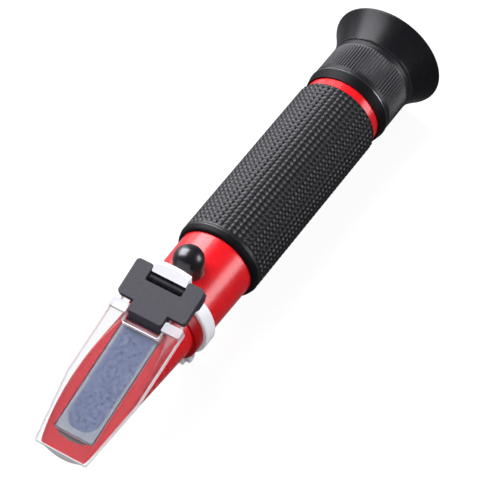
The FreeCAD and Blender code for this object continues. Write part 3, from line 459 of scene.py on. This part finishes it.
# ------------------------------------------------------------------ eyecup
def eyecup():
    outer = [(98.82, 13.85), (98.82, 14.6), (98.86, 15.0), (98.97, 15.28), (99.15, 15.40), (99.35, 15.32), (99.5, 15.16), (99.65, 15.14)]
    k = 22
    for i in range(1, k + 1):
        t = i / k
        x = 99.65 + (108.9 - 99.65) * t
        outer.append((x, 15.14 + 4.96 * (0.74 * t + 0.26 * t * t)))
    rim = [(109.15, 20.24), (109.32, 20.29), (109.4, 20.2), (109.4, 19.95), (109.3, 19.72), (109.1, 19.55)]
    inner = []
    k = 16
    for i in range(1, k + 1):
        t = i / k
        x = 109.1 + (103.2 - 109.1) * t
        inner.append((x, 19.55 - 5.35 * (0.80 * t + 0.20 * t * t)))
    web = [(102.95, 13.9), (102.8, 13.4), (102.8, 12.2), (102.7, 11.7), (102.4, 11.5), (101.5, 11.5), (101.25, 11.75), (101.22, 12.5), (101.22, 13.6), (101.2, 13.85)]
    ob = lathe("rubber_eyecup", outer + rim + inner + web, 160, "eyepiece", ("eyecup",), (CUP, CREST), angle=50)
    for f in ob.data.polygons:
        x = f.center.x * 1000 - SHIFT_X
        f.material_index = 1 if x < 99.5 and f.center.y ** 2 + (f.center.z - AXIS_Z / 1000) ** 2 > 0.0148 ** 2 else 0
    return ob


eyecup()

# ------------------------------------------------------------------ rubber cap of the calibration screw
def cap():
    cx, R, zr = -15.4, 5.1, 17.35
    n = 72

    def foot(r, t):
        y = r * math.sin(t)
        return math.sqrt(13.35 ** 2 - y * y) + 0.0

    verts, faces = [], []
    rows = []
    rows.append(lambda t: (3.4, 17.3))
    rows.append(lambda t: (3.4, foot(3.4, t) + 0.1))
    rows.append(lambda t: (3.5, foot(3.5, t)))
    rows.append(lambda t: (4.95, foot(4.95, t)))
    rows.append(lambda t: (5.1, foot(5.1, t) + 0.12))
    rows.append(lambda t: (5.1, foot(5.1, t) + 0.5))
    rows.append(lambda t: (5.08, 15.2))
    rows.append(lambda t: (5.1, 16.4))
    for i in range(0, 15):
        a = math.radians(90 * i / 15.0)
        rows.append(lambda t, a=a: (R * math.cos(a), zr + R * math.sin(a)))
    for i in range(n):
        t = 2 * math.pi * i / n
        for fn in rows:
            r, z = fn(t)
            verts.append(dev(cx + r * math.cos(t), r * math.sin(t), z))
    m = len(rows)
    for i in range(n):
        j = (i + 1) % n
        for k in range(m - 1):
            faces.append((i * m + k, j * m + k, j * m + k + 1, i * m + k + 1))
    top = len(verts)
    verts.append(dev(cx, 0, zr + R))
    low = len(verts)
    verts.append(dev(cx, 0, 17.6))
    for i in range(n):
        j = (i + 1) % n
        faces.append((i * m + m - 1, j * m + m - 1, top))
        faces.append((j * m, i * m, low))
    return add("rubber_cap", verts, faces, "cap", ("screw_cap",), (CAP,), angle=50)


cap()

# ------------------------------------------------------------------ prism housing
def deck_z(x, low=-2.15):
    """Height of the deck plane at x, device frame."""
    a = (x - TIP_X + low * ST) / CT
    return TIP_Z + a * ST + low * CT


def housing():
    front, rear = -85.9, -31.0
    Rf, zf, Rr, zr = 10.9, 4.9, 11.8, 1.0
    stations = [front + 0.0, front + 0.08, front + 0.3, front + 0.7]
    stations += list(np.linspace(front + 1.5, rear, 46))
    rings = []
    N = 56
    for si, x in enumerate(stations):
        t = (x - front) / (rear - front)
        R = Rf + (Rr - Rf) * t
        zc = zf + (zr - zf) * t
        shrink = [0.7, 0.38, 0.12, 0.02][si] if si < 4 else 0.0
        R -= shrink
        zd = deck_z(x) - shrink * 0.8
        # half width at the deck, with a rounded deck edge
        if zd < zc + R - 0.02:
            ang = math.asin(max(-1.0, min(1.0, (zd - zc) / R)))
        else:
            ang = math.pi / 2 - 0.02
        edge = 0.55
        yw = R * math.cos(ang)
        corner = Vector((yw, zd))
        # arc point a little below the deck and deck point a little inside
        da = edge * 1.1 / R
        pa = Vector((R * math.cos(ang - da), zc + R * math.sin(ang - da)))
        pd = Vector((max(yw - edge * 1.1, 0.0), zd))
        pts = []
        lower = [ang - da + (-math.pi / 2 - (ang - da)) * k / N for k in range(N + 1)]
        right = [Vector((R * math.cos(q), zc + R * math.sin(q))) for q in lower]
        bez = []
        for k in range(1, 7):
            s = k / 7.0
            bez.append(pd * (1 - s) ** 2 + corner * 2 * s * (1 - s) + pa * s * s)
        half = [pd] + bez + right     # from the deck on +Y down to the keel
        ring = [(-p.x, p.y) for p in half[::-1][:0]]
        ring = [(p.x, p.y) for p in half] + [(-p.x, p.y) for p in half[::-1][1:]]
        rings.append([dev(x, y, z) for y, z in ring])
    verts, faces = [], []
    m = len(rings[0])
    for r in rings:
        verts += r
    for i in range(len(rings) - 1):
        for k in range(m):
            q = (k + 1) % m
            faces.append((i * m + k, i * m + q, (i + 1) * m + q, (i + 1) * m + k))
    faces.append(tuple(range(m)))
    faces.append(tuple(range((len(rings) - 1) * m, len(rings) * m))[::-1])
    me = bpy.data.meshes.new("prism_housing_shell")
    me.from_pydata([tuple(v) for v in verts], [], faces)
    me.validate()
    bm = bmesh.new()
    bm.from_mesh(me)
    bmesh.ops.recalc_face_normals(bm, faces=bm.faces)
    bm.to_mesh(me)
    bm.free()
    return me


def cut(me, tools):
    """Boolean differences, applied."""
    ob = bpy.data.objects.new("work", me)
    COLL.objects.link(ob)
    gone = []
    for i, tm in enumerate(tools):
        to = bpy.data.objects.new("tool%d" % i, tm)
        COLL.objects.link(to)
        md = ob.modifiers.new("cut%d" % i, "BOOLEAN")
        md.operation = "DIFFERENCE"
        md.solver = "EXACT"
        md.object = to
        gone.append(to)
    bpy.context.view_layer.update()
    dg = bpy.context.evaluated_depsgraph_get()
    res = bpy.data.meshes.new_from_object(ob.evaluated_get(dg))
    for o in gone + [ob]:
        bpy.data.objects.remove(o)
    return res


def round_outline(a0, a1, y, r0=0.6, r1=0.6):
    return fillet([(a0, -y, r0), (a1, -y, r1), (a1, y, r1), (a0, y, r0)], 8)


shell = housing()
well = slab("well", round_outline(6.75, 47.5, 7.25, 0.5, 0.5), -9.0, 3.0, None, edge=0, keep_mesh=True)
# crescent recess in front of the prism
cres = []
for k in range(33):
    t = math.pi * (0.5 + k / 32.0)
    cres.append((6.9 + 1.6 * math.cos(t), 5.6 * math.sin(t)))
cres += [(8.5, -5.6), (8.5, 5.6)]
scoop = slab("scoop", cres, -3.2, 3.0, None, edge=0, keep_mesh=True)
shell = cut(shell, [well, scoop])
finish_mesh(shell, 30)
shell_ob = bpy.data.objects.new("housing_shell", shell)
COLL.objects.link(shell_ob)
shell.materials.clear()
shell.materials.append(RED)
shell.materials.append(DECK_RED_PAINTED_SHADE)
shell.materials.append(RECESS_PAINTED_SHADE)
shell.materials.append(NOSE_PAINTED_LIGHT)
for f in shell.polygons:
    # up-facing deck faces take the darker red: painted shade
    f.material_index = 1 if f.normal.dot(Vector((-ST, 0.0, CT))) > 0.995 else 0
    u = f.center.x * 1000 - SHIFT_X - TIP_X
    w = f.center.z * 1000 - AXIS_Z - TIP_Z
    a, h = u * CT + w * ST, -u * ST + w * CT
    # the recess floor takes the dark grey: painted shade
    if 5.0 < a < 6.95 and -3.3 < h < -2.2 and abs(f.center.y) < 0.0058:
        f.material_index = 2
    # front-facing faces of the housing's front end take the near-white: painted light
    if f.material_index == 0 and f.normal.x < -0.62 and f.center.x * 1000 - SHIFT_X < -85.0:
        f.material_index = 3
weigh(shell_ob)
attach(shell_ob, "main_tube")
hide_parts("prism_housing")
# the round neck of the housing, a piece of the same casting; its darker red is painted shade
neck = lathe("housing_neck", fillet([
    (-31.2, 7.6), (-31.2, 13.0, 0.45), (-27.0, 13.0), (-27.0, 11.5), (-20.6, 11.5), (-20.6, 7.6)], 6), 160, "main_tube",
    (), (RED_NECK_PAINTED_SHADE,), angle=35)

# ------------------------------------------------------------------ measuring prism
def prism():
    """The wedge with its polished rim, and the ground face let into its top."""
    top, lip = -2.13, 0.12
    a0, a1, yh = 7.2, 45.5, 6.8
    lower = fillet([(a0, -yh, 0.45), (a1, -yh, 0.45), (a1, yh, 0.45), (a0, yh, 0.45)], 4)
    upper = fillet([(a0 + lip, -yh + lip, 0.35), (a1 - lip, -yh + lip, 0.35), (a1 - lip, yh - lip, 0.35), (a0 + lip, yh - lip, 0.35)], 4)
    m = len(lower)
    verts = [pla(a, y, top) for a, y in upper] + [pla(a, y, top - lip) for a, y in lower] + [pla(a, y, top - 2.6) for a, y in lower]
    faces = [tuple(range(m))]
    for base in (0, m):
        for i in range(m):
            j = (i + 1) % m
            faces.append((base + i, base + j, base + m + j, base + m + i))
    # the underside narrows to the wedge's line
    keel_n, keel_p = len(verts), len(verts) + 1
    verts += [pla(43.6, -yh, -18.9), pla(43.6, yh, -18.9)]
    for i in range(m):
        j = (i + 1) % m
        p, q = lower[i], lower[j]
        b = 2 * m
        if p[1] < 0 and q[1] < 0:
            faces.append((b + i, b + j, keel_n))
        elif p[1] >= 0 and q[1] >= 0:
            faces.append((b + i, b + j, keel_p))
        elif p[1] < 0:
            faces.append((b + i, b + j, keel_p, keel_n))
        else:
            faces.append((b + i, b + j, keel_n, keel_p))
    add("prism_block", verts, faces, "main_tube", ("measuring_prism",), (PRISM_EDGE,), angle=24, weighted=True)
    face = fillet([(a0 + 2.1, -yh + 1.1, 5.0), (a1 - 0.45, -yh + 1.1, 0.25), (a1 - 0.45, yh - 1.1, 0.25), (a0 + 2.1, yh - 1.1, 5.0)], 14)
    slab("ground_face", face, -2.4, -2.105, "main_tube", mats=(PRISM_FACE,), edge=0.04, segments=1)


prism()

# ------------------------------------------------------------------ clear daylight plate
def plate():
    # outline with softly rounded corners; pads and sheet are one moulding
    out = fillet([
        (0.0, -9.4, 0.7), (24.0, -13.0, 6.0), (51.3, -13.0, 0.5), (51.3, -11.2), (57.0, -11.2, 0.4), (57.0, -6.5, 0.3), (45.7, -6.5, 0.5),
        (45.7, 6.5, 0.5), (57.0, 6.5, 0.3), (57.0, 11.2, 0.4), (51.3, 11.2), (51.3, 13.0, 0.5), (24.0, 13.0, 6.0), (0.0, 9.4, 0.7)], 6)
    sheet = slab("sheet", out, -1.9, 0.0, None, edge=0.5, segments=2, angle=50, keep_mesh=True)
    bm = bmesh.new()
    bm.from_mesh(sheet)
    me = bpy.data.meshes.new("plate")
    bm.to_mesh(me)
    bm.free()
    base = bpy.data.objects.new("daylight_sheet", me)
    COLL.objects.link(base)
    tools = []
    for s in (1, -1):
        pad = slab("pad", fillet([(48.0, 6.5 * s, 0.4), (51.3, 6.5 * s, 0.5), (51.3, 13.0 * s, 0.6), (48.0, 13.0 * s, 0.8)], 4), -0.6, 1.75,
                   None, edge=0.25, segments=2, angle=50, keep_mesh=True)
        to = bpy.data.objects.new("padtool", pad)
        COLL.objects.link(to)
        md = base.modifiers.new("join%d" % s, "BOOLEAN")
        md.operation = "UNION"
        md.solver = "EXACT"
        md.object = to
        tools.append(to)
    bpy.context.view_layer.update()
    dg = bpy.context.evaluated_depsgraph_get()
    res = bpy.data.meshes.new_from_object(base.evaluated_get(dg))
    for o in tools + [base]:
        bpy.data.objects.remove(o)
    finish_mesh(res, 40)
    ob = bpy.data.objects.new("daylight_cover", res)
    COLL.objects.link(ob)
    res.materials.clear()
    for mt in (CLEAR, PLATE_SIDE_PAINTED_HIGHLIGHT, PLATE_EDGE_PAINTED_HIGHLIGHT, NOTCH_EDGE_PAINTED_HIGHLIGHT, PAD_PAINTED_LIGHT):
        res.materials.append(mt)
    up = Vector((-ST, 0.0, CT))
    for f in res.polygons:
        k = abs(f.normal.dot(up))
        c = f.center
        u = c.x * 1000 - SHIFT_X - TIP_X
        w = c.z * 1000 - AXIS_Z - TIP_Z
        a, y, h = u * CT + w * ST, c.y * 1000, -u * ST + w * CT
        # side walls and edge roundings of the clear plate take the near-white colours: painted highlight
        f.material_index = 0 if k > 0.97 else (1 if k < 0.2 else 2)
        if h > 0.05:
            # pad faces take the pale grey: painted light and shade
            f.material_index = 4 if k > 0.97 or k < 0.2 else 2
        elif k < 0.2 and a < 0.4:
            f.material_index = 2
        elif k < 0.97 and abs(y) < 6.4 and 45.0 < a < 46.4:
            # the notch edge takes the white: painted highlight
            f.material_index = 3
    weigh(ob)
    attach(ob, "cover")
    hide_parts("daylight_plate")
    return ob


plate()

# ------------------------------------------------------------------ bracket, clamp ring and small metal parts
def bracket():
    front_h, rear_h, front_a, rear_a = 2.4, 3.05, 52.7, 65.5
    slope = (rear_h - front_h) / (rear_a - front_a)

    def top(a, y):
        a = max(a, 49.0)
        return front_h + slope * (a - front_a) - (0.02 if a > 64 else 0.0)

    plan = []
    half = [(49.0, 6.1, 0.9), (52.7, 6.1, 0.35), (52.7, 12.4, 1.1), (65.5, 12.4, 1.3), (65.5, 6.6, 0.6), (60.0, 6.6, 0.6)]
    plan = [(a, -y, r) for a, y, r in half] + [(a, y, r) for a, y, r in half[::-1]]
    out = fillet(plan, 6)
    # one moulding: the tongue goes down into the notch of the plate, the wide part rests on the plate
    bm = bmesh.new()
    lo_v, hi_v = [], []
    for a, y in out:
        tongue = a < 52.6
        h1 = top(a, y)
        h0 = -1.6 if tongue else 0.0
        shift = 0.0
        if a < 50.4:
            shift = 0.42 * (h1 - h0) * min(1.0, (50.4 - a) / 1.2)
        lo_v.append(bm.verts.new((a - shift, y, h0)))
        hi_v.append(bm.verts.new((a, y, h1)))
    m = len(out)
    bm.faces.new(hi_v)
    bm.faces.new(lo_v[::-1])
    for i in range(m):
        j = (i + 1) % m
        bm.faces.new((lo_v[i], lo_v[j], hi_v[j], hi_v[i]))
    bmesh.ops.recalc_face_normals(bm, faces=bm.faces)
    top_edges = [e for e in bm.edges if len(e.link_faces) == 2 and e.calc_face_angle(0.0) > math.radians(35)]
    bmesh.ops.bevel(bm, geom=top_edges, offset=0.32, offset_type="OFFSET", segments=4, profile=0.5, affect="EDGES", clamp_overlap=True)
    big = [f for f in bm.faces if len(f.verts) > 4]
    bmesh.ops.triangulate(bm, faces=big)
    for v in bm.verts:
        v.co = Vector(pla(*v.co))
    me = bpy.data.meshes.new("bracket")
    bm.to_mesh(me)
    bm.free()
    finish_mesh(me, 40)
    me.materials.append(BRACKET)
    me.materials.append(TONGUE_FRONT_PAINTED_SHADE)
    front = Vector((-CT, 0.0, -ST))
    # front-facing faces of the tongue take the darker copy: painted shade
    for f in me.polygons:
        c = f.center
        a = (c.x * 1000 - SHIFT_X - TIP_X) * CT + (c.z * 1000 - AXIS_Z - TIP_Z) * ST
        f.material_index = 1 if f.normal.dot(front) > 0.5 and a < 50.5 else 0
    ob = bpy.data.objects.new("bracket", me)
    COLL.objects.link(ob)
    weigh(ob)
    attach(ob, "cover")
    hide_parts("plate_bracket")
    # bosses round the pin below each ear
    side = fillet([(58.45, 0.2, 0.3), (60.3, -1.8, 0.9), (63.7, -1.8, 0.9), (65.35, 0.1, 0.3), (65.1, 0.9), (58.9, 0.9)], 5)
    for s, name in ((1, "boss_left"), (-1, "boss_right")):
        slab(name, side, min(6.6 * s, 12.4 * s), max(6.6 * s, 12.4 * s), "cover",
             where=lambda a, h, y: pla(a, y, h), mats=(BRACKET,), edge=0.25, segments=3)


bracket()
cad_copy("bush_sleeve", "hinge_bush", "main_tube", (BLACK_BUSH_AND_LUG_SHADE,), width=0.12, segments=2)
ring = cad_copy("ring", "clamp_ring", "main_tube", (WHITE_METAL, BLACK_BUSH_AND_LUG_SHADE), width=0.3, segments=3)
# front faces of the white lug take the black bush finish: painted shade
for f in ring.data.polygons:
    c = f.center
    front = c.x * 1000 - SHIFT_X < -26.3 and c.z * 1000 - AXIS_Z > 14.6 and abs(c.y) < 0.0064
    f.material_index = 1 if front and f.normal.x < -0.45 else 0
cad_copy("clamp_bolt", "clamp_screw", "main_tube", (STEEL,), width=0.15, segments=2)
cad_copy("clamp_hex", "clamp_nut", "main_tube", (STEEL,), width=0.12, segments=2)
cad_copy("pin", "hinge_pin", "cover", (STEEL,), width=0.2, segments=2)

# ------------------------------------------------------------------ floor, light, camera
def floor():
    """A pale floor that sweeps up into a backdrop on all sides."""
    prof = [(0.0, 0.0), (0.6, 0.0), (1.6, 0.0), (2.6, 0.0)]
    prof += [(2.6 + 0.9 * math.sin(math.radians(a)), 0.9 - 0.9 * math.cos(math.radians(a))) for a in range(10, 91, 10)]
    prof += [(3.5, 2.0), (3.5, 3.2)]
    n = 64
    verts = [(0.0, 0.0, -0.0002)]
    for r, z in prof[1:]:
        for i in range(n):
            t = 2 * math.pi * i / n
            verts.append((r * math.cos(t), r * math.sin(t), z - 0.0002))
    faces = [(0, 1 + i, 1 + (i + 1) % n) for i in range(n)]
    for k in range(len(prof) - 2):
        b = 1 + k * n
        faces += [(b + i, b + n + i, b + n + (i + 1) % n, b + (i + 1) % n) for i in range(n)]
    me = bpy.data.meshes.new("floor")
    me.from_pydata(verts, [], faces)
    me.materials.append(FLOOR)
    for f in me.polygons:
        f.use_smooth = True
    ob = bpy.data.objects.new("floor", me)
    COLL.objects.link(ob)
    ob.visible_glossy = False
    ob.visible_diffuse = False
    ob.visible_shadow = False


floor()


def area(name, direction, distance, size_x, size_y, watts, target=(0, 0, 0.02), along=(1, 0, 0)):
    """Rectangular soft light that faces the object; its long side runs `along`."""
    la = bpy.data.lights.new(name, "AREA")
    la.shape = "RECTANGLE"
    la.size, la.size_y = size_x, size_y
    la.energy = watts * 1.05
    la.color = (0.95, 0.94, 1.0)
    ob = bpy.data.objects.new(name, la)
    COLL.objects.link(ob)
    d = Vector(direction).normalized()
    pos = Vector(target) + d * distance
    z = d
    x = Vector(along)
    x = (x - z * x.dot(z)).normalized()
    y = z.cross(x)
    ob.matrix_world = Matrix(((x.x, y.x, z.x, pos.x), (x.y, y.y, z.y, pos.y), (x.z, y.z, z.z, pos.z), (0, 0, 0, 1)))
    return ob


area("main_soft", (0.15, 0.67, 0.73), 1.25, 1.2, 1.15, 30)
area("side_soft", (0.50, -0.82, 0.28), 0.95, 0.50, 0.42, 2.7)
overhead = area("overhead_soft", (-0.06, 0.34, 0.94), 1.2, 0.70, 0.50, 5.5, along=(0.53, -0.85, 0))
overhead.visible_glossy = False
area("left_soft", (0.50, 0.86, 0.05), 1.1, 0.90, 0.24, 0.8)
fill = area("fill", (-0.08, -0.86, 0.50), 1.3, 0.9, 0.9, 11.5)
fill.visible_glossy = False
front = area("front_fill", (-0.93, -0.28, 0.06), 1.2, 0.6, 0.6, 3.5)
front.visible_glossy = False

# soft surroundings: a pale side beyond the object on the left, quiet elsewhere
world = bpy.data.worlds.new("world")
SCENE.world = world
world.use_nodes = True
_w = world.node_tree
_bg = _w.nodes["Background"]
_bg.inputs["Color"].default_value = (0.95, 0.94, 1.0, 1)
_tc = _w.nodes.new("ShaderNodeTexCoord")
_dot = _w.nodes.new("ShaderNodeVectorMath")
_dot.operation = "DOT_PRODUCT"
_dot.inputs[1].default_value = tuple(Vector((0.49, 0.80, -0.34)).normalized())
_w.links.new(_tc.outputs["Generated"], _dot.inputs[0])
_mr = _w.nodes.new("ShaderNodeMapRange")
_mr.interpolation_type = "SMOOTHSTEP"
_mr.inputs["From Min"].default_value = 0.30
_mr.inputs["From Max"].default_value = 0.95
_mr.inputs["To Min"].default_value = 0.07
_mr.inputs["To Max"].default_value = 0.33
_w.links.new(_dot.outputs["Value"], _mr.inputs["Value"])
_w.links.new(_mr.outputs["Result"], _bg.inputs["Strength"])

cam_data = bpy.data.cameras.new("camera")
cam = bpy.data.objects.new("camera", cam_data)
COLL.objects.link(cam)
right = Vector((0.53356, -0.84563, 0.01467))
fwd = Vector((0.54877, 0.33295, -0.76681)).normalized()
right = (right - fwd * right.dot(fwd)).normalized()
up = right.cross(fwd)
pos = Vector(dev(-445.7, -279.5, 640.3))
cam.matrix_world = Matrix(((right.x, up.x, -fwd.x, pos.x), (right.y, up.y, -fwd.y, pos.y), (right.z, up.z, -fwd.z, pos.z), (0, 0, 0, 1)))
cam_data.sensor_fit = "HORIZONTAL"
cam_data.sensor_width = 36.0
cam_data.lens = 2600.0 / 480.0 * 36.0
cam_data.clip_start, cam_data.clip_end = 0.05, 20.0
SCENE.camera = cam

SCENE.view_settings.view_transform = "Standard"
SCENE.view_settings.look = "None"
